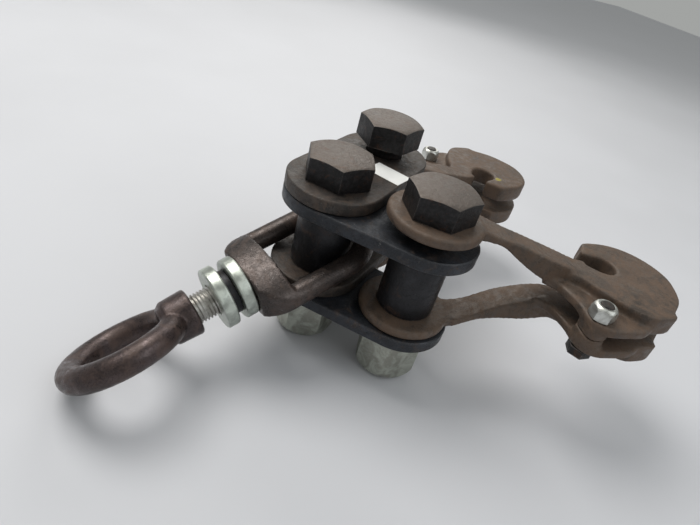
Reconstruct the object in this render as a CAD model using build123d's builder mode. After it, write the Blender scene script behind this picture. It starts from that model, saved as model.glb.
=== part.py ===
"""Swivel-eye scissor clamp with two hooked, forged arms.

The clamp stands on the ends of its pivot nuts. Its three pivot bolts are upright.
Origin: axis of the crown bolt, on the plane that the nuts stand on. +Z is up along
the bolts, +X runs from the crown bolt towards the hooks, and the front arm is on the
-Y side. All sizes are in millimetres and all angles in degrees.
"""
from build123d import *

import math
import os

# ---------------------------------------------------------------- link plates
link_centres = 77.0          # pivot to pivot along a link
link_angle = 42.35           # each link's angle from the X axis, at rest
link_thickness = 10.0
link_end_radius = 37.0
link_edge_break = 0.8
torch_notch_radius = 1.6     # start mark of the flame cut on each plate's rim

# ---------------------------------------------------------------- pivot bolts (M30)
bolt_diameter = 30.0
rear_bolt_lift = 9.5         # the rear bolt's head stands clear of the upper rear link
hex_across_flats = 46.0
head_height = 18.9
head_chamfer_depth = 1.7
nut_height = 39.5
nut_dome_height = 13.0       # rounded lower end of the lock nut
nut_face_diameter = 39.0     # flat ring that the nut stands on
insert_diameter = 34.0       # nylon locking ring inside the nut
insert_height = 7.0
insert_lip = 1.5             # metal rolled over the ring

# ---------------------------------------------------------------- spacer tubes
spacer_diameter = 44.0
crown_spacer_length = 52.0
arm_spacer_length = 54.4

# ---------------------------------------------------------------- arms
eye_spread = 89.0            # outside to outside of an arm's two eyes
eye_thickness = 8.0
eye_radius = 35.0
eye_rim_round = 2.5
front_arm_angle = -11.0      # direction of the front arm, at rest
rear_arm_angle = 16.0        # direction of the rear arm, at rest
arm_length = 143.0           # eye centre to the centre of the hook's slot
bar_width = 26.0             # at the neck, beside the eye
hook_half_depth = 22.0       # mid plane to the outside of a hook plate
hook_gap = 13.0              # open gap between the two hook plates
hook_back = 56.5             # slot centre to the hook's outer end
hook_belly = 60.0            # slot centre to the hook's outer side
hook_tip_rise = 31.5         # slot centre to the top of the hook's nose
slot_radius = 11.6
hook_round = 2.0             # rounded edges of the forging
nose_round = 3.5
ear_round = 2.5
ear_height = 13.5            # mid plane to the top of the ear
ear_reach = 67.5             # slot centre to the ear's outer side
clamp_bolt_diameter = 10.0
clamp_hex_across_flats = 16.0
clamp_head_height = 6.4
clamp_nut_height = 10.5
clamp_insert_height = 2.6
clamp_insert_diameter = 12.2
clamp_bolt_back = 27.0       # clamp bolt behind the slot centre
clamp_bolt_side = 54.5       # clamp bolt beside the arm's centre line
clamp_bolt_tail = 0.8        # thread that stands out of the nut

# ---------------------------------------------------------------- stirrup and swivel
stirrup_direction = 200.3    # direction of the swivel axis about the crown bolt
stirrup_droop = 19.2         # the loop rests on the lower link plates
stirrup_height = 82.7        # loop plane where it crosses the crown bolt's axis
loop_half_width = 24.6       # inside
loop_bar_radius = 8.5
boss_inner_face = 46.2       # along the swivel axis, from the crown bolt
boss_outer_face = 69.5
boss_outer_width = 50.0
boss_half_height = 18.2
swivel_diameter = 22.0
swivel_head_diameter = 30.0
swivel_head_height = 9.0
washer_diameter = 46.8
washer_bore = 24.0
washer_thickness = 9.2
washer_edge_round = 1.6
thrust_disc_diameter = 34.0
thrust_disc_thickness = 5.4
collar_gap = 15.2            # bare thread between the outer washer and the eye nut
collar_radius = 17.4
collar_length = 19.0
ring_wire_radius = 9.2
ring_centre_radius = 35.2
ring_centre = 160.2          # along the swivel axis, from the crown bolt
ring_roll = 34.4             # ring plane turned about the swivel axis
ring_land = 5.0              # worn flat band inside the ring

# ---------------------------------------------------------------- clearances
plate_gap = 0.5              # between link plates that lie on each other
face_gap = 0.25              # between a face and the face it turns on
pivot_clearance = 0.5        # radial, link plates and eyes on the pivot bolts
tube_clearance = 1.0         # radial, spacer tubes on the pivot bolts
thread_clearance = 0.05      # radial, nuts on their bolts
swivel_clearance = 0.5       # radial, swivel bolt in the stirrup
recess_clearance = 0.5       # swivel head in its recess, all round
nut_play = 6.5               # lowest link plate above the pivot nuts
clamp_hole_clearance = 0.3   # radial, arm clamp bolts in the ears

# ---------------------------------------------------------------- worked out
bolt_radius = bolt_diameter / 2
across_corners = hex_across_flats / math.cos(math.pi / 6)

pivot_reach = link_centres * math.cos(math.radians(link_angle))
pivot_side = link_centres * math.sin(math.radians(link_angle))
crown_pivot = (0.0, 0.0)
front_pivot = (pivot_reach, -pivot_side)
rear_pivot = (pivot_reach, pivot_side)

lower_front_link_z = nut_height + nut_play
lower_rear_link_z = lower_front_link_z + link_thickness + plate_gap
crown_spacer_z = lower_rear_link_z + link_thickness + face_gap
upper_front_link_z = crown_spacer_z + crown_spacer_length + face_gap
upper_rear_link_z = upper_front_link_z + link_thickness + plate_gap
links_top_z = upper_rear_link_z + link_thickness

# the front arm's lower eye lies on the lower front link
front_mid_z = lower_front_link_z + link_thickness + face_gap + eye_spread / 2
# the rear arm's upper eye hangs under the upper rear link
rear_mid_z = upper_rear_link_z - face_gap - eye_spread / 2
front_spacer_z = front_mid_z - eye_spread / 2 + eye_thickness + face_gap
rear_spacer_z = lower_rear_link_z + link_thickness + face_gap

crown_head_z = links_top_z + face_gap
front_head_z = front_mid_z + eye_spread / 2 + face_gap
rear_head_z = links_top_z + rear_bolt_lift

os.makedirs("parts", exist_ok=True)


def save(builder, name):
    """Label a finished piece and write it as its own file."""
    builder.part.label = name
    export_step(builder.part, f"parts/{name}.step")


# ================================================================ link plates
def build_link(name, bottom_z, angle, notch_angle):
    """Obround flame-cut plate from the crown pivot to an arm pivot."""
    end = (link_centres * math.cos(math.radians(angle)), link_centres * math.sin(math.radians(angle)))
    with BuildPart() as link:
        with BuildSketch(Plane.XY.offset(bottom_z)):
            with Locations((end[0] / 2, end[1] / 2)):
                SlotCenterToCenter(link_centres, 2 * link_end_radius, rotation=angle)
        extrude(amount=link_thickness)
        rims = link.faces().filter_by(Axis.Z).edges()
        chamfer(rims, length=link_edge_break)
        with BuildSketch(Plane.XY.offset(bottom_z)):
            with Locations(crown_pivot, end):
                Circle(bolt_radius + pivot_clearance)
            notch = math.radians(notch_angle)
            with Locations((end[0] + link_end_radius * math.cos(notch),
                            end[1] + link_end_radius * math.sin(notch))):
                Circle(torch_notch_radius)
        extrude(amount=link_thickness, mode=Mode.SUBTRACT)
    save(link, name)


build_link("front_link_lower", lower_front_link_z, -link_angle, -28.0)
build_link("front_link_upper", upper_front_link_z, -link_angle, -20.0)
build_link("rear_link_lower", lower_rear_link_z, link_angle, 70.0)
build_link("rear_link_upper", upper_rear_link_z, link_angle, 100.0)


# ================================================================ pivot hardware
def hex_cone(flats, corner_drop, height):
    """Half section of the cone that breaks the corners of a hexagon's end."""
    corner = flats / 2 / math.cos(math.pi / 6)
    flat_end = flats / 2 * 0.96
    return [(0, 0), (corner + 1, 0), (corner + 1, height - corner_drop * (corner + 1 - flat_end)
             / (corner - flat_end)), (flat_end, height), (0, height)]


def build_pivot_bolt(name, centre, head_z, turn):
    """Hexagon-head bolt with its head uppermost and a chamfered end."""
    x, y = centre
    section = Plane(origin=(x, y, head_z), x_dir=(1, 0, 0), z_dir=(0, -1, 0))
    with BuildPart() as bolt:
        with BuildSketch(Plane.XY.offset(head_z)):
            with Locations(centre):
                RegularPolygon(hex_across_flats / 2, 6, major_radius=False, rotation=turn)
        extrude(amount=head_height)
        with BuildSketch(section):
            with BuildLine():
                Polyline(*hex_cone(hex_across_flats, head_chamfer_depth, head_height), close=True)
            make_face()
        revolve(axis=Axis((x, y, head_z), (0, 0, 1)), mode=Mode.INTERSECT)
        with BuildSketch(Plane.XY):
            with Locations(centre):
                Circle(bolt_radius)
        extrude(amount=head_z)
        chamfer(bolt.faces().sort_by(Axis.Z)[0].edges(), length=1.5)
    save(bolt, name)


def build_lock_nut(name, centre, turn):
    """Tall hexagon lock nut with a domed lower end that holds a nylon ring."""
    x, y = centre
    corner = across_corners / 2
    face = nut_face_diameter / 2
    section = Plane(origin=(x, y, 0), x_dir=(1, 0, 0), z_dir=(0, -1, 0))
    with BuildPart() as nut:
        with BuildSketch(Plane.XY):
            with Locations(centre):
                RegularPolygon(hex_across_flats / 2, 6, major_radius=False, rotation=turn)
        extrude(amount=nut_height)
        with BuildSketch(section):
            with BuildLine():
                Line((0, 0), (face, 0))
                dome = ThreePointArc((face, 0), (face + 0.68 * (corner - face), 0.36 * nut_dome_height),
                                     (corner, nut_dome_height))
                Polyline(dome @ 1, (corner, nut_height - head_chamfer_depth),
                         (hex_across_flats / 2 * 0.96, nut_height), (0, nut_height), (0, 0))
            make_face()
        revolve(axis=Axis((x, y, 0), (0, 0, 1)), mode=Mode.INTERSECT)
        with BuildSketch(Plane.XY):
            with Locations(centre):
                Circle(bolt_radius + thread_clearance)
        extrude(amount=nut_height, mode=Mode.SUBTRACT)
        with BuildSketch(Plane.XY.offset(insert_lip)):
            with Locations(centre):
                Circle(insert_diameter / 2)
        extrude(amount=insert_height, mode=Mode.SUBTRACT)
    save(nut, name)


def build_insert(name, centre):
    """Nylon locking ring in the domed end of a pivot nut."""
    with BuildPart() as ring:
        with BuildSketch(Plane.XY.offset(insert_lip)):
            with Locations(centre):
                Circle(insert_diameter / 2 - thread_clearance)
                Circle(bolt_radius + thread_clearance, mode=Mode.SUBTRACT)
        extrude(amount=insert_height - 2 * thread_clearance)
    save(ring, name)


def build_spacer(name, centre, bottom_z, length):
    """Tube that keeps the link plates or the eyes apart."""
    with BuildPart() as tube:
        with BuildSketch(Plane.XY.offset(bottom_z)):
            with Locations(centre):
                Circle(spacer_diameter / 2)
                Circle(bolt_radius + tube_clearance, mode=Mode.SUBTRACT)
        extrude(amount=length)
        chamfer(tube.edges().filter_by(GeomType.CIRCLE), length=0.6)
    save(tube, name)


build_pivot_bolt("crown_pivot_bolt", crown_pivot, crown_head_z, 15.0)
build_pivot_bolt("front_pivot_bolt", front_pivot, front_head_z, 23.8)
build_pivot_bolt("rear_pivot_bolt", rear_pivot, rear_head_z, 34.1)
for place, centre, nut_turn in (("crown", crown_pivot, 40.0), ("front", front_pivot, 5.0),
                                ("rear", rear_pivot, 20.0)):
    build_lock_nut(f"{place}_pivot_nut", centre, nut_turn)
    build_insert(f"{place}_nut_insert", centre)
build_spacer("crown_spacer", crown_pivot, crown_spacer_z, crown_spacer_length)
build_spacer("front_spacer", front_pivot, front_spacer_z, arm_spacer_length)
build_spacer("rear_spacer", rear_pivot, rear_spacer_z, arm_spacer_length)


# ================================================================ arms
half_spread = eye_spread / 2
eye_bottom = half_spread - eye_thickness
plate_bottom = hook_gap / 2
hook_x = arm_length
neck_inner = 0.375 * bar_width
neck_outer = neck_inner - bar_width


# one half forging, in its own frame: X along the arm, Y inwards, Z away from the mid plane
with BuildPart() as half_arm:
    # bar: side view, coming down from the eye to the hook plate
    with BuildSketch(Plane.XZ.offset(-neck_inner)):
        with BuildLine():
            crest = Spline((0.19 * hook_x, half_spread), (0.29 * hook_x, half_spread - 3.2),
                           (0.5 * hook_x, 0.46 * half_spread + 0.57 * hook_half_depth),
                           (0.74 * hook_x, hook_half_depth + 3.0), (0.9 * hook_x, hook_half_depth - 0.4),
                           tangents=[(1, 0), (1, 0)])
            keel = Spline((0.8 * hook_x, plate_bottom), (0.64 * hook_x, plate_bottom + 4.0),
                          (0.42 * hook_x, 0.73 * eye_bottom), (0.24 * hook_x, eye_bottom),
                          tangents=[(-1, 0), (-1, 0.1)])
            Polyline(crest @ 1, (0.9 * hook_x, plate_bottom), keel @ 0)
            Polyline(keel @ 1, (0.12 * hook_x, eye_bottom), (0.12 * hook_x, half_spread), crest @ 0)
        make_face()
    extrude(amount=bar_width)
    # narrow the bar towards the hook
    with BuildSketch(Plane.XY):
        with BuildLine():
            Polyline((0.33 * hook_x, neck_inner), (0.5 * hook_x, neck_inner - 0.4), (0.75 * hook_x, 5.0),
                     (0.92 * hook_x, 1.5), (0.92 * hook_x, 20.0), (0.33 * hook_x, 20.0), close=True)
        make_face()
        with BuildLine():
            Polyline((0.28 * hook_x, neck_outer), (0.4 * hook_x, neck_outer + 3.6),
                     (0.5 * hook_x, neck_outer + 3.3), (0.64 * hook_x, neck_outer),
                     (0.64 * hook_x, neck_outer - 5.0), (0.28 * hook_x, neck_outer - 5.0), close=True)
        make_face()
    extrude(amount=half_spread, mode=Mode.SUBTRACT)

# hook plate, with its slot open towards the eyes
with BuildPart() as hook_plate:
    with BuildSketch(Plane.XY.offset(plate_bottom)):
        with BuildLine():
            throat = Spline((hook_x - 40.0, 4.4), (hook_x - 22.0, 2.0), (hook_x - 11.0, -6.0),
                            (hook_x + 1.0, -0.8 - slot_radius), tangents=[(1, 0), (1, -0.2)])
            seat = ThreePointArc(throat @ 1, (hook_x + slot_radius, -0.8), (hook_x + 2.0, slot_radius - 1.2))
            tip = Polyline(seat @ 1, (hook_x - 11.5, slot_radius + 0.8), (hook_x - 2.0, 0.9 * hook_tip_rise))
            back = Spline(tip @ 1, (hook_x + 8.0, 0.975 * hook_tip_rise), (hook_x + 21.0, hook_tip_rise - 0.5),
                          (hook_x + 37.0, 0.82 * hook_tip_rise), (hook_x + 49.5, 0.43 * hook_tip_rise),
                          (hook_x + hook_back, -9.0), (hook_x + hook_back - 3.5, -24.0),
                          (hook_x + 45.0, -0.65 * hook_belly), (hook_x + 33.0, -0.86 * hook_belly),
                          (hook_x + 15.0, -hook_belly), tangents=[(1, 0.5), (-1, -0.15)])
            step = Spline(back @ 1, (hook_x + 3.0, -0.95 * hook_belly), (hook_x - 9.0, -0.775 * hook_belly),
                          (hook_x - 20.0, -0.56 * hook_belly), (hook_x - 36.0, -18.0),
                          tangents=[(-1, -0.15), (-1, 0.4)])
            Line(step @ 1, throat @ 0)
        make_face()
    extrude(amount=hook_half_depth - plate_bottom)
    nose = [edge for edge in hook_plate.edges().filter_by(Axis.Z) if edge.center().X < hook_x
            and edge.center().Y > slot_radius]
    fillet(nose, radius=nose_round)
    top_rim = hook_plate.faces().sort_by(Axis.Z)[-1].edges()
    fillet(top_rim, radius=hook_round)

# ear, lower than the hook plate
with BuildPart() as ear:
    with BuildSketch(Plane.XY.offset(plate_bottom)):
        with BuildLine():
            rim = Spline((hook_x + 22.0, -0.9 * hook_belly), (hook_x + 4.0, -ear_reach + 2.0),
                         (hook_x - 10.0, -ear_reach), (hook_x - 25.0, -ear_reach),
                         (hook_x - 33.5, -ear_reach + 6.0), (hook_x - 36.0, -54.0),
                         (hook_x - 36.0, -41.0), (hook_x - 40.0, -26.0), (hook_x - 52.0, -13.0),
                         tangents=[(-1, -0.7), (-1, 0.8)])
            Polyline(rim @ 1, (hook_x - 20.0, -10.0), (hook_x + 16.0, -30.0), rim @ 0)
        make_face()
    extrude(amount=ear_height - plate_bottom)
    ear_rim = ear.faces().sort_by(Axis.Z)[-1].edges()
    fillet([edge for edge in ear_rim if edge.length > 80.0], radius=ear_round)
    # pad where the two halves meet
    with BuildSketch(Plane.XY.offset(face_gap / 2)):
        with Locations((hook_x - clamp_bolt_back, -clamp_bolt_side)):
            RectangleRounded(16.5, 22.0, 7.0)
    extrude(amount=plate_bottom + 1.0)

with BuildPart() as eye:
    with BuildSketch(Plane.XY.offset(eye_bottom)):
        Circle(eye_radius)
    extrude(amount=eye_thickness)
    fillet(eye.edges(), radius=eye_rim_round)

with BuildPart() as forging:
    add(half_arm.part)
    add(hook_plate.part)
    add(ear.part)
    add(eye.part)
    with BuildSketch(Plane.XY):
        Circle(bolt_radius + pivot_clearance)
        with Locations((hook_x - clamp_bolt_back, -clamp_bolt_side)):
            Circle(clamp_bolt_diameter / 2 + clamp_hole_clearance)
    extrude(amount=half_spread, mode=Mode.SUBTRACT)



def arm_plane(pivot, mid_z, angle, flipped):
    """Frame of an arm at its eye: X along the arm and Y towards the other arm."""
    along = (math.cos(math.radians(angle)), math.sin(math.radians(angle)), 0)
    return Plane(origin=(pivot[0], pivot[1], mid_z), x_dir=along, z_dir=(0, 0, -1 if flipped else 1))


def build_half(name, frame, turned_over):
    """Place one half forging on its arm."""
    with BuildPart() as half:
        add(forging.part)
        if turned_over:
            mirror(about=Plane.XY, mode=Mode.REPLACE)
    with BuildPart() as placed:
        with Locations(frame.location):
            add(half.part)
    save(placed, name)


def build_arm(place, pivot, mid_z, angle, flipped):
    """Two half forgings with their clamp bolt and lock nut."""
    frame = arm_plane(pivot, mid_z, angle, flipped)
    build_half(f"{place}_arm_upper", frame, flipped)
    build_half(f"{place}_arm_lower", frame, not flipped)
    spot = frame.from_local_coords((hook_x - clamp_bolt_back, -clamp_bolt_side, 0))
    x, y = spot.X, spot.Y
    top_z = mid_z + ear_height + face_gap / 2
    low_z = mid_z - ear_height - face_gap / 2
    with BuildPart() as bolt:
        with BuildSketch(Plane.XY.offset(low_z - clamp_head_height)):
            with Locations((x, y)):
                RegularPolygon(clamp_hex_across_flats / 2, 6, major_radius=False, rotation=angle + 12.0)
        extrude(amount=clamp_head_height)
        with BuildSketch(Plane.XY.offset(low_z)):
            with Locations((x, y)):
                Circle(clamp_bolt_diameter / 2)
        extrude(amount=top_z + clamp_nut_height + clamp_bolt_tail - low_z)
        chamfer(bolt.faces().sort_by(Axis.Z)[-1].edges(), length=0.8)
    save(bolt, f"{place}_clamp_bolt")
    section = Plane(origin=(x, y, top_z), x_dir=(1, 0, 0), z_dir=(0, -1, 0))
    flats = clamp_hex_across_flats / 2
    corner = flats / math.cos(math.pi / 6)
    with BuildPart() as nut:
        with BuildSketch(Plane.XY.offset(top_z)):
            with Locations((x, y)):
                RegularPolygon(flats, 6, major_radius=False, rotation=angle + 27.0)
        extrude(amount=clamp_nut_height)
        with BuildSketch(section):
            with BuildLine():
                Line((0, clamp_nut_height), (0.82 * flats, clamp_nut_height))
                dome = ThreePointArc((0.82 * flats, clamp_nut_height), (0.93 * flats, 0.93 * clamp_nut_height),
                                     (corner, 0.62 * clamp_nut_height))
                Polyline(dome @ 1, (corner, 0.8), (0.96 * flats, 0), (0, 0), (0, clamp_nut_height))
            make_face()
        revolve(axis=Axis((x, y, top_z), (0, 0, 1)), mode=Mode.INTERSECT)
        with BuildSketch(Plane.XY.offset(top_z)):
            with Locations((x, y)):
                Circle(clamp_bolt_diameter / 2 + thread_clearance)
        extrude(amount=clamp_nut_height, mode=Mode.SUBTRACT)
        with BuildSketch(Plane.XY.offset(top_z + clamp_nut_height - clamp_insert_height - 0.6)):
            with Locations((x, y)):
                Circle(clamp_insert_diameter / 2)
        extrude(amount=clamp_insert_height, mode=Mode.SUBTRACT)
    save(nut, f"{place}_clamp_nut")
    with BuildPart() as ring:
        with BuildSketch(Plane.XY.offset(top_z + clamp_nut_height - clamp_insert_height - 0.6
                                         + thread_clearance)):
            with Locations((x, y)):
                Circle(clamp_insert_diameter / 2 - thread_clearance)
                Circle(clamp_bolt_diameter / 2 + thread_clearance, mode=Mode.SUBTRACT)
        extrude(amount=clamp_insert_height - 2 * thread_clearance)
    save(ring, f"{place}_clamp_nut_insert")


build_arm("front", front_pivot, front_mid_z, front_arm_angle, False)
build_arm("rear", rear_pivot, rear_mid_z, rear_arm_angle, True)


# ================================================================ stirrup and swivel
turn = math.radians(stirrup_direction)
droop = math.radians(stirrup_droop)
swivel_dir = Vector(math.cos(droop) * math.cos(turn), math.cos(droop) * math.sin(turn), -math.sin(droop))
loop_normal = Vector(math.sin(droop) * math.cos(turn), math.sin(droop) * math.sin(turn), math.cos(droop))
loop_side = loop_normal.cross(swivel_dir)
hub = Vector(0, 0, stirrup_height)


def across_axis(distance):
    """Plane square to the swivel axis, at a distance from the crown bolt."""
    return Plane(origin=hub + swivel_dir * distance, x_dir=loop_side, z_dir=swivel_dir)


bar_line = loop_half_width + loop_bar_radius
loop_plane = Plane(origin=hub, x_dir=swivel_dir, z_dir=loop_normal)
with BuildPart() as stirrup:
    with BuildLine(loop_plane) as loop_path:
        Line((boss_inner_face + 8.0, bar_line), (0, bar_line))
        ThreePointArc((0, bar_line), (-bar_line, 0), (0, -bar_line))
        Line((0, -bar_line), (boss_inner_face + 8.0, -bar_line))
    with BuildSketch(across_axis(boss_inner_face + 8.0)):
        with Locations((bar_line, 0)):
            Circle(loop_bar_radius)
    sweep(path=loop_path.wire())
    with BuildSketch(across_axis(boss_inner_face)):
        Ellipse(bar_line + loop_bar_radius, boss_half_height)
    extrude(amount=boss_outer_face - boss_inner_face)
    shoulder = bar_line + loop_bar_radius
    for side in (1, -1):
        with BuildSketch(loop_plane.offset(-2 * boss_half_height)):
            with BuildLine():
                curve = Spline((boss_inner_face - 6.0, side * (shoulder + 0.3)),
                               (boss_inner_face + 10.0, side * (shoulder - 3.5)),
                               (boss_outer_face + 0.5, side * boss_outer_width / 2),
                               tangents=[(1, 0), (0.8, -side)])
                Polyline(curve @ 1, (boss_outer_face + 0.5, side * 60.0),
                         (boss_inner_face - 6.0, side * 60.0), curve @ 0)
            make_face()
        extrude(amount=4 * boss_half_height, mode=Mode.SUBTRACT)
    with BuildSketch(across_axis(boss_inner_face)):
        Circle(swivel_diameter / 2 + swivel_clearance)
    extrude(amount=boss_outer_face - boss_inner_face + 1.0, mode=Mode.SUBTRACT)
    with BuildSketch(across_axis(boss_inner_face)):
        Circle(swivel_head_diameter / 2 + recess_clearance)
    extrude(amount=swivel_head_height + recess_clearance, mode=Mode.SUBTRACT)
save(stirrup, "stirrup")

inner_washer_at = boss_outer_face + face_gap
disc_at = inner_washer_at + washer_thickness + face_gap
outer_washer_at = disc_at + thrust_disc_thickness + face_gap
collar_at = outer_washer_at + washer_thickness + collar_gap


def build_washer(name, start, diameter, thickness, edge_round):
    """Round disc with a clearance hole for the swivel bolt."""
    with BuildPart() as washer:
        with BuildSketch(across_axis(start)):
            Circle(diameter / 2)
        extrude(amount=thickness)
        fillet(washer.edges(), radius=edge_round)
        with BuildSketch(across_axis(start)):
            Circle(washer_bore / 2)
        extrude(amount=thickness, mode=Mode.SUBTRACT)
    save(washer, name)


build_washer("inner_washer", inner_washer_at, washer_diameter, washer_thickness, washer_edge_round)
build_washer("thrust_disc", disc_at, thrust_disc_diameter, thrust_disc_thickness, 0.6)
build_washer("outer_washer", outer_washer_at, washer_diameter, washer_thickness, washer_edge_round)

swivel_end = collar_at + collar_length
with BuildPart() as swivel_bolt:
    with BuildSketch(across_axis(boss_inner_face + face_gap)):
        Circle(swivel_head_diameter / 2)
    extrude(amount=swivel_head_height)
    fillet(swivel_bolt.edges(), radius=1.0)
    with BuildSketch(across_axis(boss_inner_face + swivel_head_height)):
        Circle(swivel_diameter / 2)
    extrude(amount=swivel_end - boss_inner_face - swivel_head_height)
save(swivel_bolt, "swivel_bolt")

ring_side = loop_side * math.cos(math.radians(ring_roll)) + loop_normal * math.sin(math.radians(ring_roll))
ring_normal = swivel_dir.cross(ring_side)
ring_middle = hub + swivel_dir * ring_centre
with BuildPart() as eye_nut:
    with BuildSketch(Plane(origin=ring_middle, x_dir=swivel_dir, z_dir=ring_side)):
        with Locations((ring_centre_radius, 0)):
            Circle(ring_wire_radius)
    revolve(axis=Axis(ring_middle, ring_normal))
    with BuildSketch(across_axis(collar_at)):
        Circle(collar_radius)
    extrude(amount=collar_length, taper=3.0)
    # shoulder that runs out into the ring
    with BuildSketch(across_axis(collar_at + collar_length)):
        Circle(collar_radius - 1.4)
    extrude(amount=ring_centre - ring_centre_radius + 7.5 - collar_at - collar_length, taper=38.0)
    collar_rim = [edge for edge in eye_nut.edges() if edge.geom_type == GeomType.CIRCLE
                  and abs((edge.arc_center - (hub + swivel_dir * collar_at)).length) < 0.1]
    fillet(collar_rim, radius=2.0)
    with BuildSketch(Plane(origin=ring_middle - ring_normal * ring_wire_radius, x_dir=swivel_dir,
                           z_dir=ring_normal)):
        Circle(ring_centre_radius - math.sqrt(ring_wire_radius ** 2 - ring_land ** 2 / 4))
    extrude(amount=2 * ring_wire_radius, mode=Mode.SUBTRACT)
    with BuildSketch(across_axis(collar_at)):
        Circle(swivel_diameter / 2 + thread_clearance)
    extrude(amount=collar_length + face_gap, mode=Mode.SUBTRACT)
save(eye_nut, "eye_nut")
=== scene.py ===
import math

import bmesh
import bpy
from mathutils import Euler, Matrix, Vector


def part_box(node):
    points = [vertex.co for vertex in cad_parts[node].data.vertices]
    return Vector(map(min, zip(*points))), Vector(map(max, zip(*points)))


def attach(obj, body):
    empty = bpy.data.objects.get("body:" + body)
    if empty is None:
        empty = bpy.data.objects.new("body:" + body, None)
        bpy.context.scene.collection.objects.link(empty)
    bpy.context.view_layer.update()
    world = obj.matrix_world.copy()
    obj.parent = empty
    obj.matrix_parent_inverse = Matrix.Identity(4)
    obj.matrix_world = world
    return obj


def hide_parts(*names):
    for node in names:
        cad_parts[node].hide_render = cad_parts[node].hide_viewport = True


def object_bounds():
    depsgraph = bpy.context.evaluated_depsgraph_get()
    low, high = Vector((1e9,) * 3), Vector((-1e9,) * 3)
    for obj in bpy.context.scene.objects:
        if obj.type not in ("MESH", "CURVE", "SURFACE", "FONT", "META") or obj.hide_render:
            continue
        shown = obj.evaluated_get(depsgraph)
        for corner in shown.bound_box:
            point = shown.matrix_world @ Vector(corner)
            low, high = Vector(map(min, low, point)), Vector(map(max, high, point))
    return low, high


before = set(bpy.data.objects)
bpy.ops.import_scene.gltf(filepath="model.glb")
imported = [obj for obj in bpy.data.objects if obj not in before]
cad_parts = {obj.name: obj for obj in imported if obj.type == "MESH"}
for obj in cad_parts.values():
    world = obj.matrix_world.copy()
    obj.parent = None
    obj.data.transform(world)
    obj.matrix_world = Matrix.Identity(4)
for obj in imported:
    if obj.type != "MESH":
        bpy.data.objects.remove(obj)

bl_info = {
    "name": "Scissor clamp finishes",
    "version": (1, 0, 0),
    "blender": (4, 5, 0),
    "location": "3D View > Sidebar > Clamp",
    "description": "Finishes the forged scissor clamp: smooth forgings, threads, label and worn steel",
    "category": "Object",
}

START_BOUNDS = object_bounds()

LINKS = {"front_link_steel": ("front_link_lower", "front_link_upper"),
         "rear_link_steel": ("rear_link_lower", "rear_link_upper")}
BOLTS = ("crown_pivot_bolt", "front_pivot_bolt", "rear_pivot_bolt")
NUTS = ("crown_pivot_nut", "front_pivot_nut", "rear_pivot_nut")
INSERTS = ("crown_nut_insert", "front_nut_insert", "rear_nut_insert", "front_clamp_nut_insert",
           "rear_clamp_nut_insert")
SPACERS = ("crown_spacer", "front_spacer", "rear_spacer", "thrust_disc")
ARMS = {"front_arm_upper": "front_arm", "front_arm_lower": "front_arm",
        "rear_arm_upper": "rear_arm", "rear_arm_lower": "rear_arm"}
CLAMP_BOLTS = ("front_clamp_bolt", "rear_clamp_bolt")
CLAMP_NUTS = ("front_clamp_nut", "rear_clamp_nut")
WASHERS = ("inner_washer", "outer_washer")

# the swivel axis, from where it crosses the crown bolt's axis
HUB = Vector((0.0, 0.0, 0.0827))
TURN = math.radians(200.3)                # direction seen from above
DROOP = math.radians(19.2)
AXIS = Vector((math.cos(DROOP) * math.cos(TURN), math.cos(DROOP) * math.sin(TURN), -math.sin(DROOP)))

# the swivel bolt, as distances from the hub along that axis
SWIVEL_HEAD = 0.04645
SWIVEL_HEAD_PROFILE = ((0.0, 0.0138), (0.0012, 0.0150), (0.0078, 0.0150), (0.0090, 0.0142))
SHANK_START = 0.0550
SHANK_LENGTH = 0.0290
SHANK_RADIUS = 0.01095
THREAD_START = 0.0838                     # just inside the end of the plain shank
THREAD_LENGTH = 0.0441
THREAD_RADIUS = 0.01098
THREAD_DEPTH = 0.0013

# the paper label on the upper rear link
LABEL_PLACE = (0.0455, 0.0120)
LABEL_TURN = math.radians(-53.0)
LABEL_ASPECT = 0.68
LABEL_THICKNESS = 0.00018
LABEL_LIFT = 0.00011                      # link's top to the label's mid plane

# the paint mark beside the rear hook's slot
MARK_PLACE = (0.2060, 0.0810)
MARK_BELOW_EYE = 0.0245
MARK_RADIUS = 0.0045

# name, place, disc diameter, power in watts and colour
LIGHTS = (
    ("key light", (-0.5, 0.7, 1.6), 1.2, 22.0, (1.0, 0.985, 0.95)),
    ("fill light", (0.9, -1.0, 1.3), 1.6, 8.0, (0.93, 0.97, 1.0)),
    ("back light", (0.6, 1.4, 1.0), 1.2, 7.0, (1.0, 0.98, 0.94)),
)
LIT_POINT = Vector((0.05, 0.0, 0.05))
FLOOR_HALF = 4.0
FLOOR_GAP = 0.0001                        # floor below the lowest point of the clamp
CAMERA_PLACE = (-0.13134, -0.31782, 0.30784)
CAMERA_TURN = (54.3055, -13.2442, -17.4320)
CAMERA_LENS = 26.91


# ------------------------------------------------------------------ sizes and colours
class ClampSizes(bpy.types.PropertyGroup):
    """Sizes of the finished pieces."""

    skin: bpy.props.FloatProperty(name="Forging mesh", description="Mesh size of the smooth forgings",
                                  default=0.0011, min=0.0006, max=0.004, unit="LENGTH")
    rounding: bpy.props.IntProperty(name="Forging rounding", description="Smoothing passes over a forging",
                                    default=7, min=0, max=40)
    edge: bpy.props.FloatProperty(name="Machined edge", description="Bevel on machined and cut edges",
                                  default=0.0005, min=0.0, max=0.002, unit="LENGTH")
    pitch: bpy.props.FloatProperty(name="Swivel thread pitch", description="Pitch of the swivel thread",
                                   default=0.0025, min=0.001, max=0.004, unit="LENGTH")
    label: bpy.props.FloatProperty(name="Label width", description="Longer side of the paper label",
                                   default=0.030, min=0.01, max=0.05, unit="LENGTH")


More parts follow.
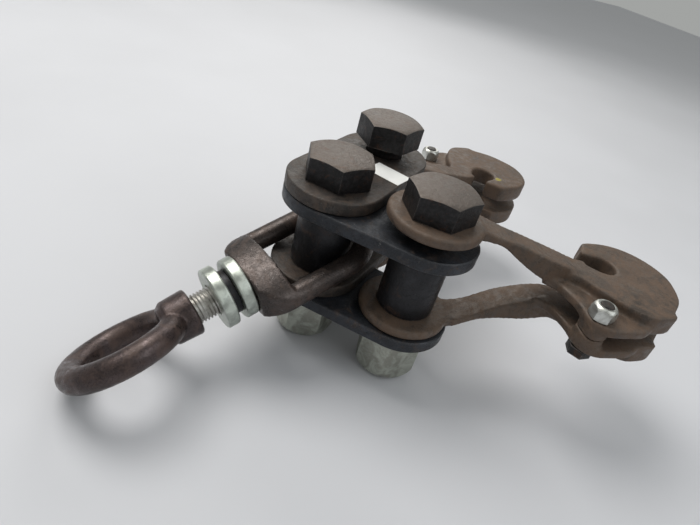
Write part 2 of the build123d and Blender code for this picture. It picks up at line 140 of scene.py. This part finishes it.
class ClampColours(bpy.types.PropertyGroup):
    """Base colours of the finishes."""

    forging: bpy.props.FloatVectorProperty(name="Arm forging", description="Brown skin of the arms",
                                           subtype="COLOR", size=3, default=(0.088, 0.067, 0.053))
    links: bpy.props.FloatVectorProperty(name="Front links", description="Dark blue-grey plate",
                                         subtype="COLOR", size=3, default=(0.028, 0.031, 0.038))
    rear_links: bpy.props.FloatVectorProperty(name="Rear links", description="Brown-grey plate",
                                              subtype="COLOR", size=3, default=(0.050, 0.043, 0.039))
    stirrup: bpy.props.FloatVectorProperty(name="Stirrup", description="Dark brown-grey forging",
                                           subtype="COLOR", size=3, default=(0.062, 0.050, 0.046))
    ring: bpy.props.FloatVectorProperty(name="Ring", description="Violet-grey forging",
                                        subtype="COLOR", size=3, default=(0.062, 0.046, 0.045))
    zinc: bpy.props.FloatVectorProperty(name="Zinc", description="Pale zinc plate",
                                        subtype="COLOR", size=3, default=(0.60, 0.64, 0.58))
    floor: bpy.props.FloatVectorProperty(name="Floor", description="Pale floor",
                                         subtype="COLOR", size=3, default=(0.60, 0.605, 0.635))


# ------------------------------------------------------------------ materials
class Nodes:
    """Small helper that builds one node material."""

    def __init__(self, name):
        self.material = bpy.data.materials.new(name)
        self.material.use_nodes = True
        self.tree = self.material.node_tree
        self.shader = next(n for n in self.tree.nodes if n.type == "BSDF_PRINCIPLED")
        self.coords = self.tree.nodes.new("ShaderNodeTexCoord").outputs["Object"]

    def link(self, source, target):
        self.tree.links.new(source, target)

    def noise(self, size, detail=6.0, rough=0.6, distort=0.0):
        """Noise with features of about that size in metres."""
        node = self.tree.nodes.new("ShaderNodeTexNoise")
        node.inputs["Scale"].default_value = 1.0 / size
        node.inputs["Detail"].default_value = detail
        node.inputs["Roughness"].default_value = rough
        node.inputs["Distortion"].default_value = distort
        self.link(self.coords, node.inputs["Vector"])
        return node.outputs["Fac"]

    def ramp(self, source, low, high, start=0.0, end=1.0):
        """Map low..high of a value to start..end."""
        node = self.tree.nodes.new("ShaderNodeMapRange")
        node.clamp = True
        node.interpolation_type = "SMOOTHSTEP"
        node.inputs["From Min"].default_value = low
        node.inputs["From Max"].default_value = high
        node.inputs["To Min"].default_value = start
        node.inputs["To Max"].default_value = end
        self.link(source, node.inputs["Value"])
        return node.outputs["Result"]

    def math(self, kind, a, b):
        """One maths node; a and b are sockets or numbers."""
        node = self.tree.nodes.new("ShaderNodeMath")
        node.operation = kind
        for value, socket in ((a, node.inputs[0]), (b, node.inputs[1])):
            if isinstance(value, (int, float)):
                socket.default_value = value
            else:
                self.link(value, socket)
        return node.outputs["Value"]

    def mix(self, factor, a, b):
        """Mix two colours, each a socket or three numbers."""
        node = self.tree.nodes.new("ShaderNodeMix")
        node.data_type = "RGBA"
        self.link(factor, node.inputs["Factor"])
        for value, socket in ((a, node.inputs[6]), (b, node.inputs[7])):
            if isinstance(value, bpy.types.NodeSocket):
                self.link(value, socket)
            else:
                socket.default_value = (*value, 1.0)
        return node.outputs[2]

    def edges(self, radius, low=0.02, high=0.22):
        """Mask of the convex and concave edges, about that wide."""
        bevel = self.tree.nodes.new("ShaderNodeBevel")
        bevel.samples = 6
        bevel.inputs["Radius"].default_value = radius
        geometry = self.tree.nodes.new("ShaderNodeNewGeometry")
        dot = self.tree.nodes.new("ShaderNodeVectorMath")
        dot.operation = "DOT_PRODUCT"
        self.link(bevel.outputs["Normal"], dot.inputs[0])
        self.link(geometry.outputs["Normal"], dot.inputs[1])
        return self.ramp(self.math("SUBTRACT", 1.0, dot.outputs["Value"]), low, high)

    def facing_up(self, low, high):
        """Mask of the faces that look up at rest, where the painted top light goes."""
        coords = self.tree.nodes.new("ShaderNodeTexCoord")
        split = self.tree.nodes.new("ShaderNodeSeparateXYZ")
        self.link(coords.outputs["Normal"], split.inputs["Vector"])
        return self.ramp(split.outputs["Z"], low, high)

    def bump(self, height, distance, strength=1.0, after=None):
        """Bump from a height, on top of an earlier bump."""
        node = self.tree.nodes.new("ShaderNodeBump")
        node.inputs["Strength"].default_value = strength
        node.inputs["Distance"].default_value = distance
        self.link(height, node.inputs["Height"])
        if after is not None:
            self.link(after, node.inputs["Normal"])
        return node.outputs["Normal"]

    def finish(self, colour, rough, metallic, normal):
        """Join the finish up to the shader; each is a socket or a number."""
        for value, name in ((colour, "Base Color"), (rough, "Roughness"), (metallic, "Metallic"),
                            (normal, "Normal")):
            socket = self.shader.inputs[name]
            if isinstance(value, (int, float)):
                socket.default_value = value
            else:
                self.link(value, socket)
        return self.material


def shade(colour, factor):
    """A lighter or darker copy of a colour."""
    return tuple(min(1.0, c * factor) for c in colour)


def forged(name, base, rust, worn, rust_share, worn_share, gloss, pits, metallic, mark=None):
    """Scale-covered forging: mottled skin, rust in patches, bare metal on the edges.

    A mark is a centre, a radius and a colour: one dab of paint.
    """
    n = Nodes(name)
    broad = n.noise(0.028, 5.0, 0.62, 0.6)
    fine = n.noise(0.0045, 6.0, 0.7)
    grain = n.noise(0.0011, 3.0, 0.6)
    skin = n.mix(n.ramp(broad, 0.35, 0.68), shade(base, 0.62), shade(base, 1.5))
    skin = n.mix(n.ramp(fine, 0.38, 0.66), skin, n.mix(n.ramp(grain, 0.4, 0.6), shade(base, 0.5),
                                                       shade(base, 1.25)))
    patches = n.math("ADD", n.noise(0.017, 8.0, 0.72, 1.2), n.math("MULTIPLY", fine, 0.35))
    rusty = n.ramp(patches, 0.70 - rust_share * 0.3, 0.98 - rust_share * 0.3)
    colour = n.mix(n.math("MULTIPLY", rusty, 0.8), skin, rust)
    edge = n.edges(0.0022, 0.012, 0.16)
    rubbed = n.math("MULTIPLY", edge, n.ramp(n.noise(0.009, 6.0, 0.7), 0.50 - worn_share * 0.3, 0.64))
    flecks = n.ramp(n.noise(0.0032, 8.0, 0.75), 0.66 - worn_share * 0.06, 0.72)
    bare = n.math("MAXIMUM", n.math("MULTIPLY", rubbed, 0.75),
                  n.math("MULTIPLY", flecks, 0.35 + 0.5 * worn_share))
    colour = n.mix(bare, colour, worn)
    if mark:
        centre, radius, mark_colour = mark
        offset = n.tree.nodes.new("ShaderNodeVectorMath")
        offset.operation = "DISTANCE"
        n.link(n.coords, offset.inputs[0])
        offset.inputs[1].default_value = centre
        ragged = n.math("ADD", offset.outputs["Value"], n.math("MULTIPLY", fine, radius))
        colour = n.mix(n.ramp(ragged, radius * 1.45, radius * 1.15), colour, mark_colour)
    rough = n.math("ADD", n.ramp(fine, 0.3, 0.7, gloss - 0.08, gloss + 0.14),
                   n.math("MULTIPLY", rusty, 0.16))
    rough = n.math("SUBTRACT", rough, n.math("MULTIPLY", bare, 0.18))
    normal = n.bump(n.noise(0.009, 6.0, 0.62), 0.0004, 0.7)
    normal = n.bump(n.ramp(n.noise(0.0022, 4.0, 0.7), 0.30, 0.60), pits, 0.5, normal)
    normal = n.bump(grain, 0.00007, 0.6, normal)
    metal = n.math("ADD", n.math("MULTIPLY", bare, 0.6), metallic)
    metal = n.math("MULTIPLY", metal, n.ramp(rusty, 0.0, 1.0, 1.0, 0.3))
    return n.finish(colour, rough, metal, normal)


def plated(name, base, dull, rust, gloss, bump, stain):
    """Zinc plate or bright steel: slightly cloudy, with stains and a trace of rust."""
    n = Nodes(name)
    cloud = n.noise(0.011, 6.0, 0.65, 0.8)
    fine = n.noise(0.0024, 5.0, 0.7)
    colour = n.mix(n.ramp(cloud, 0.38, 0.66), dull, base)
    spots = n.ramp(n.noise(0.0065, 8.0, 0.75, 0.6), 0.60, 0.70)
    colour = n.mix(n.math("MULTIPLY", spots, stain), colour, rust)
    edge = n.edges(0.0010, 0.03, 0.25)
    colour = n.mix(n.math("MULTIPLY", edge, 0.35), colour, shade(base, 1.25))
    rough = n.ramp(n.math("ADD", cloud, n.math("MULTIPLY", fine, 0.4)), 0.4, 0.95, gloss, gloss + 0.25)
    normal = n.bump(fine, bump, 0.7)
    return n.finish(colour, rough, 0.85, normal)


def head_steel(name, dark, top, rust):
    """Bolt steel: near-black sides; the faces that look up are brown-grey, partly painted top light and
    partly rubbed wear.
    """
    n = Nodes(name)
    broad = n.noise(0.016, 6.0, 0.66, 0.8)
    fine = n.noise(0.003, 6.0, 0.72)
    # painted top light: faces that look up are lightened toward the top colour, in patches that also stand
    # for rubbed wear
    up = n.facing_up(0.55, 0.9)
    worn = n.math("MULTIPLY", up, n.ramp(n.math("ADD", broad, n.math("MULTIPLY", fine, 0.5)), 0.45, 0.78,
                                         0.55, 1.0))
    side = n.mix(n.ramp(fine, 0.4, 0.66), shade(dark, 0.7), shade(dark, 1.6))
    # mix in the painted top light and wear on the up-facing faces
    colour = n.mix(worn, side, top)
    rusty = n.ramp(n.noise(0.008, 8.0, 0.75, 1.0), 0.53, 0.66)
    colour = n.mix(n.math("MULTIPLY", rusty, 0.55), colour, rust)
    edge = n.edges(0.0018, 0.02, 0.2)
    colour = n.mix(n.math("MULTIPLY", edge, n.ramp(broad, 0.42, 0.6, 0.1, 0.7)), colour, (0.30, 0.27, 0.25))
    rough = n.ramp(n.math("ADD", fine, n.math("MULTIPLY", broad, 0.5)), 0.5, 1.0, 0.34, 0.62)
    normal = n.bump(n.ramp(n.noise(0.0035, 7.0, 0.72), 0.3, 0.6), 0.0002, 0.8)
    normal = n.bump(fine, 0.0001, 0.6, normal)
    return n.finish(colour, rough, 0.55, normal)


def plain(name, base, rough, size, depth, spread):
    """Even finish with slight mottling of that size."""
    n = Nodes(name)
    mottle = n.noise(size, 5.0, 0.6)
    colour = n.mix(n.ramp(mottle, 0.35, 0.65), shade(base, 1.0 - spread), shade(base, 1.0 + spread))
    roughness = n.ramp(mottle, 0.3, 0.7, rough, rough + 0.15)
    return n.finish(colour, roughness, 0.0, n.bump(mottle, depth, 0.6))


# ------------------------------------------------------------------ mesh helpers
def new_object(name, mesh):
    """Put a mesh into the scene as an object at the origin."""
    obj = bpy.data.objects.new(name, mesh)
    bpy.context.scene.collection.objects.link(obj)
    return obj


def paint(obj, material):
    """Give an object one material."""
    obj.data.materials.clear()
    obj.data.materials.append(material)


def soften(obj, width, angle=35.0):
    """Weld a frame mesh and round its sharp edges, without touching its own vertices."""
    weld = obj.modifiers.new("Weld", "WELD")
    weld.merge_threshold = 0.00001
    bevel = obj.modifiers.new("Bevel", "BEVEL")
    bevel.width = width
    bevel.segments = 2
    bevel.limit_method = "ANGLE"
    bevel.angle_limit = math.radians(angle)
    smooth_shade(obj)


def smooth_shade(obj):
    """Shade all of an object's faces smooth."""
    for polygon in obj.data.polygons:
        polygon.use_smooth = True


def merged_copy(name, node):
    """A plain mesh object made from a frame node, with its loose triangles joined."""
    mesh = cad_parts[node].data.copy()
    mesh.materials.clear()
    obj = new_object(name, mesh)
    work = bmesh.new()
    work.from_mesh(mesh)
    bmesh.ops.remove_doubles(work, verts=work.verts, dist=0.00001)
    work.to_mesh(mesh)
    work.free()
    return obj


def applied(obj):
    """Turn the object's modifiers into a plain mesh."""
    graph = bpy.context.evaluated_depsgraph_get()
    mesh = bpy.data.meshes.new_from_object(obj.evaluated_get(graph), depsgraph=graph)
    obj.modifiers.clear()
    obj.data = mesh
    return obj


def forging_mesh(name, node, size, passes):
    """A smooth, rounded copy of a frame node, as a forging's skin."""
    obj = merged_copy(name, node)
    remesh = obj.modifiers.new("Remesh", "REMESH")
    remesh.mode = "VOXEL"
    remesh.voxel_size = size * 1.0
    remesh.use_smooth_shade = True
    smooth = obj.modifiers.new("Smooth", "SMOOTH")
    smooth.factor = 0.5
    smooth.iterations = passes
    applied(obj)
    smooth_shade(obj)
    return obj


def threaded_rod(name, start, direction, length, radius, pitch, depth):
    """A rod with a real helical thread along its whole length."""
    steps = 40
    # along one pitch: two points at the root, then two at the crest
    profile = ((0.0, 0.0), (0.25, 0.0), (0.5, 1.0), (0.75, 1.0))
    turns = int(length / pitch) + 2
    z_axis = direction.normalized()
    x_axis = z_axis.orthogonal().normalized()
    y_axis = z_axis.cross(x_axis)
    verts = []
    rows = []
    for turn in range(turns):
        for offset, high in profile:
            r = radius - depth * (1.0 - high)
            row = []
            for step in range(steps):
                angle = 2 * math.pi * step / steps
                height = (turn - 1 + offset + step / steps) * pitch
                height = min(max(height, 0.0), length)
                outward = x_axis * (r * math.cos(angle)) + y_axis * (r * math.sin(angle))
                row.append(len(verts))
                verts.append(tuple(start + z_axis * height + outward))
            rows.append(row)
    faces = []
    period = len(profile)
    for index in range(len(rows) - 1):
        for step in range(steps - 1):
            faces.append((rows[index][step], rows[index][step + 1], rows[index + 1][step + 1],
                          rows[index + 1][step]))
        if index + period + 1 < len(rows):
            faces.append((rows[index][-1], rows[index + period][0], rows[index + period + 1][0],
                          rows[index + 1][-1]))
    mesh = bpy.data.meshes.new(name)
    mesh.from_pydata(verts, [], faces)
    mesh.update()
    return new_object(name, mesh)


def lathe(name, start, direction, profile, steps=64):
    """Turn (distance along, radius) points about an axis into a closed body."""
    z_axis = direction.normalized()
    x_axis = z_axis.orthogonal().normalized()
    y_axis = z_axis.cross(x_axis)
    verts = []
    for height, radius in profile:
        for step in range(steps):
            angle = 2 * math.pi * step / steps
            verts.append(tuple(start + z_axis * height + x_axis * (radius * math.cos(angle))
                               + y_axis * (radius * math.sin(angle))))
    faces = []
    for row in range(len(profile) - 1):
        for step in range(steps):
            after = (step + 1) % steps
            faces.append((row * steps + step, row * steps + after, (row + 1) * steps + after,
                          (row + 1) * steps + step))
    faces.append(tuple(reversed(range(steps))))
    faces.append(tuple(range((len(profile) - 1) * steps, len(profile) * steps)))
    mesh = bpy.data.meshes.new(name)
    mesh.from_pydata(verts, [], faces)
    mesh.update()
    return new_object(name, mesh)


def join(name, parts):
    """Join objects into one new object."""
    work = bmesh.new()
    for part in parts:
        work.from_mesh(part.data)
    mesh = bpy.data.meshes.new(name)
    work.to_mesh(mesh)
    work.free()
    for part in parts:
        bpy.data.objects.remove(part)
    return new_object(name, mesh)


# ------------------------------------------------------------------ operators
class CLAMP_OT_links(bpy.types.Operator):
    """Finish the four link plates"""

    bl_idname = "clamp.links"
    bl_label = "Link plates"

    def execute(self, context):
        colours = context.scene.clamp_colours
        rust = (0.085, 0.055, 0.038)
        finish = {
            "front_link_steel": forged("Front link steel", tuple(colours.links), rust,
                                       worn=(0.24, 0.23, 0.22), rust_share=0.12, worn_share=0.75,
                                       gloss=0.44, pits=0.00015, metallic=0.4),
            "rear_link_steel": forged("Rear link steel", tuple(colours.rear_links), rust,
                                      worn=(0.22, 0.20, 0.18), rust_share=0.35, worn_share=0.8,
                                      gloss=0.46, pits=0.00018, metallic=0.4),
        }
        for name, nodes in LINKS.items():
            for node in nodes:
                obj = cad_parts[node]
                paint(obj, finish[name])
                soften(obj, context.scene.clamp_sizes.edge)
        return {"FINISHED"}


class CLAMP_OT_pivot_bolts(bpy.types.Operator):
    """Finish the three pivot bolts and their lock nuts"""

    bl_idname = "clamp.pivot_bolts"
    bl_label = "Pivot bolts and nuts"

    def execute(self, context):
        # top: painted top light and rubbed wear on the heads' up-facing faces
        steel = head_steel("Pivot bolt steel", dark=(0.020, 0.019, 0.020), top=(0.115, 0.095, 0.082),
                           rust=(0.10, 0.045, 0.025))
        for node in BOLTS:
            paint(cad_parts[node], steel)
            soften(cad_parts[node], 1.4 * context.scene.clamp_sizes.edge)
        zinc = plated("Pivot nut steel", (0.50, 0.52, 0.46), dull=(0.30, 0.30, 0.26),
                      rust=(0.16, 0.10, 0.05), gloss=0.30, bump=0.00012, stain=0.5)
        for node in NUTS:
            paint(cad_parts[node], zinc)
            soften(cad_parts[node], 1.2 * context.scene.clamp_sizes.edge)
        nylon = plain("Nylon", (0.62, 0.60, 0.52), rough=0.45, size=0.003, depth=0.00004, spread=0.08)
        for node in INSERTS:
            paint(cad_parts[node], nylon)
        return {"FINISHED"}


class CLAMP_OT_spacers(bpy.types.Operator):
    """Finish the spacer tubes and the thrust disc"""

    bl_idname = "clamp.spacers"
    bl_label = "Spacers"

    def execute(self, context):
        steel = forged("Spacer steel", (0.018, 0.018, 0.021), rust=(0.09, 0.045, 0.025),
                       worn=(0.13, 0.13, 0.135), rust_share=0.0, worn_share=0.35, gloss=0.38,
                       pits=0.00008, metallic=0.45)
        for node in SPACERS:
            paint(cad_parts[node], steel)
            soften(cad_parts[node], context.scene.clamp_sizes.edge)
        return {"FINISHED"}


class CLAMP_OT_arms(bpy.types.Operator):
    """Build the smooth arm forgings"""

    bl_idname = "clamp.arms"
    bl_label = "Arm forgings"

    def execute(self, context):
        sizes = context.scene.clamp_sizes
        base = tuple(context.scene.clamp_colours.forging)
        look = {"rust": (0.118, 0.074, 0.048), "worn": (0.19, 0.16, 0.14), "rust_share": 0.62,
                "worn_share": 0.35, "gloss": 0.46, "pits": 0.00016, "metallic": 0.25}
        plain_skin = forged("Arm forging", base, **look)
        eye_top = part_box("rear_arm_upper")[1][2]
        mark = (Vector((*MARK_PLACE, eye_top - MARK_BELOW_EYE)), MARK_RADIUS, (0.30, 0.25, 0.03))
        marked_skin = forged("Rear arm forging", base, **look, mark=mark)
        for node, body in ARMS.items():
            obj = forging_mesh(node + "_forging", node, sizes.skin, sizes.rounding)
            paint(obj, marked_skin if node == "rear_arm_upper" else plain_skin)
            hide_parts(node)
            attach(obj, body)
        return {"FINISHED"}


class CLAMP_OT_fasteners(bpy.types.Operator):
    """Finish the small bolts and nuts that clamp the arm halves"""

    bl_idname = "clamp.fasteners"
    bl_label = "Arm fasteners"

    def execute(self, context):
        # top: painted top light and rubbed wear on the heads' up-facing faces
        dark = head_steel("Clamp bolt steel", dark=(0.022, 0.021, 0.021), top=(0.05, 0.045, 0.042),
                          rust=(0.09, 0.045, 0.025))
        zinc = plated("Clamp nut zinc", (0.66, 0.67, 0.64), dull=(0.42, 0.42, 0.39),
                      rust=(0.2, 0.13, 0.07), gloss=0.22, bump=0.00006, stain=0.25)
        for node in CLAMP_BOLTS:
            paint(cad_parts[node], dark)
            soften(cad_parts[node], 0.6 * context.scene.clamp_sizes.edge)
        for node in CLAMP_NUTS:
            paint(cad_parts[node], zinc)
            soften(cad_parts[node], 0.7 * context.scene.clamp_sizes.edge)
        return {"FINISHED"}


class CLAMP_OT_stirrup(bpy.types.Operator):
    """Build the smooth stirrup forging"""

    bl_idname = "clamp.stirrup"
    bl_label = "Stirrup"

    def execute(self, context):
        sizes = context.scene.clamp_sizes
        base = tuple(context.scene.clamp_colours.stirrup)
        obj = forging_mesh("stirrup_forging", "stirrup", sizes.skin, passes=10)
        paint(obj, forged("Stirrup forging", base, rust=(0.085, 0.052, 0.038), worn=(0.30, 0.28, 0.27),
                          rust_share=0.3, worn_share=0.9, gloss=0.32, pits=0.00012, metallic=0.6))
        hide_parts("stirrup")
        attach(obj, "stirrup")
        return {"FINISHED"}


class CLAMP_OT_swivel(bpy.types.Operator):
    """Build the threaded swivel bolt, the washers' finish and the ring"""

    bl_idname = "clamp.swivel"
    bl_label = "Swivel, washers and ring"

    def execute(self, context):
        sizes = context.scene.clamp_sizes
        colours = context.scene.clamp_colours
        zinc = plated("Washer zinc", tuple(colours.zinc), dull=shade(colours.zinc, 0.62),
                      rust=(0.24, 0.20, 0.12), gloss=0.26, bump=0.00010, stain=0.35)
        for node in WASHERS:
            paint(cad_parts[node], zinc)
            soften(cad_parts[node], 0.6 * sizes.edge)
        head = lathe("head", HUB + AXIS * SWIVEL_HEAD, AXIS, SWIVEL_HEAD_PROFILE)
        shank = lathe("shank", HUB + AXIS * SHANK_START, AXIS,
                      ((0.0, SHANK_RADIUS), (SHANK_LENGTH, SHANK_RADIUS)))
        thread = threaded_rod("thread", HUB + AXIS * THREAD_START, AXIS, THREAD_LENGTH, THREAD_RADIUS,
                              sizes.pitch, THREAD_DEPTH)
        bolt = join("swivel_bolt_threaded", [head, shank, thread])
        smooth_shade(bolt)
        paint(bolt, plated("Swivel thread steel", (0.62, 0.61, 0.58), dull=(0.34, 0.32, 0.29),
                           rust=(0.10, 0.06, 0.04), gloss=0.24, bump=0.00005, stain=0.5))
        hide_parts("swivel_bolt")
        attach(bolt, "swivel")
        ring = forging_mesh("eye_nut_forging", "eye_nut", size=0.0009, passes=8)
        paint(ring, forged("Ring forging", tuple(colours.ring), rust=(0.085, 0.050, 0.038),
                           worn=(0.20, 0.18, 0.175), rust_share=0.35, worn_share=0.45, gloss=0.30,
                           pits=0.00010, metallic=0.6))
        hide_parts("eye_nut")
        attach(ring, "swivel")
        return {"FINISHED"}


class CLAMP_OT_label(bpy.types.Operator):
    """Stick a blank paper label on the upper rear link"""

    bl_idname = "clamp.label"
    bl_label = "Label"

    def execute(self, context):
        width = context.scene.clamp_sizes.label
        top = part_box("rear_link_upper")[1][2]
        work = bmesh.new()
        bmesh.ops.create_cube(work, size=1.0)
        bmesh.ops.scale(work, vec=(width, LABEL_ASPECT * width, LABEL_THICKNESS), verts=work.verts)
        place = Matrix.Translation((*LABEL_PLACE, top + LABEL_LIFT))
        bmesh.ops.transform(work, matrix=place @ Matrix.Rotation(LABEL_TURN, 4, "Z"), verts=work.verts)
        mesh = bpy.data.meshes.new("paper_label")
        work.to_mesh(mesh)
        work.free()
        label = new_object("paper_label", mesh)
        paint(label, plain("Label paper", (0.80, 0.80, 0.78), rough=0.55, size=0.02, depth=0.00002,
                           spread=0.04))
        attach(label, "rear_links")
        return {"FINISHED"}


class CLAMP_OT_stage(bpy.types.Operator):
    """Add the floor, the light and the camera"""

    bl_idname = "clamp.stage"
    bl_label = "Stage"

    def execute(self, context):
        scene = context.scene
        mesh = bpy.data.meshes.new("floor")
        corners = [(x * FLOOR_HALF, y * FLOOR_HALF, 0.0) for x, y in ((-1, -1), (1, -1), (1, 1), (-1, 1))]
        mesh.from_pydata(corners, [], [(0, 1, 2, 3)])
        floor = new_object("floor", mesh)
        floor.location.z = START_BOUNDS[0][2] - FLOOR_GAP
        base = tuple(scene.clamp_colours.floor)
        paint(floor, plain("Floor", base, rough=0.6, size=0.3, depth=0.00001, spread=0.015))
        for name, place, size, power, colour in LIGHTS:
            data = bpy.data.lights.new(name, "AREA")
            data.shape = "DISK"
            data.size = size
            data.energy = power
            data.color = colour
            lamp = bpy.data.objects.new(name, data)
            lamp.location = place
            aim = LIT_POINT - Vector(place)
            lamp.rotation_euler = aim.to_track_quat("-Z", "Y").to_euler()
            scene.collection.objects.link(lamp)
        world = bpy.data.worlds.new("world")
        world.use_nodes = True
        sky = next(n for n in world.node_tree.nodes if n.type == "BACKGROUND")
        sky.inputs["Color"].default_value = (0.80, 0.82, 0.80, 1.0)
        sky.inputs["Strength"].default_value = 0.45
        scene.world = world
        data = bpy.data.cameras.new("camera")
        data.sensor_width = 36.0
        data.lens = CAMERA_LENS
        data.clip_start = 0.01
        camera = bpy.data.objects.new("camera", data)
        camera.location = CAMERA_PLACE
        camera.rotation_euler = Euler([math.radians(v) for v in CAMERA_TURN], "XYZ")
        scene.collection.objects.link(camera)
        scene.camera = camera
        scene.view_settings.view_transform = "Standard"
        return {"FINISHED"}


class CLAMP_PT_panel(bpy.types.Panel):
    """Sizes, colours and building steps of the clamp"""

    bl_label = "Clamp"
    bl_idname = "CLAMP_PT_panel"
    bl_space_type = "VIEW_3D"
    bl_region_type = "UI"
    bl_category = "Clamp"

    def draw(self, context):
        for group in (context.scene.clamp_sizes, context.scene.clamp_colours):
            for name in group.__annotations__:
                self.layout.prop(group, name)
        for operator in OPERATORS:
            self.layout.operator(operator.bl_idname)


OPERATORS = (CLAMP_OT_links, CLAMP_OT_pivot_bolts, CLAMP_OT_spacers, CLAMP_OT_arms,
             CLAMP_OT_fasteners, CLAMP_OT_stirrup, CLAMP_OT_swivel, CLAMP_OT_label, CLAMP_OT_stage)
CLASSES = (ClampSizes, ClampColours, *OPERATORS, CLAMP_PT_panel)


def register():
    for cls in CLASSES:
        bpy.utils.register_class(cls)
    bpy.types.Scene.clamp_sizes = bpy.props.PointerProperty(type=ClampSizes)
    bpy.types.Scene.clamp_colours = bpy.props.PointerProperty(type=ClampColours)


def unregister():
    del bpy.types.Scene.clamp_colours
    del bpy.types.Scene.clamp_sizes
    for cls in reversed(CLASSES):
        bpy.utils.unregister_class(cls)


def main():
    register()
    bpy.ops.clamp.links()
    bpy.ops.clamp.pivot_bolts()
    bpy.ops.clamp.spacers()
    bpy.ops.clamp.arms()
    bpy.ops.clamp.fasteners()
    bpy.ops.clamp.stirrup()
    bpy.ops.clamp.swivel()
    bpy.ops.clamp.label()
    bpy.ops.clamp.stage()


if __name__ == "__main__":
    main()
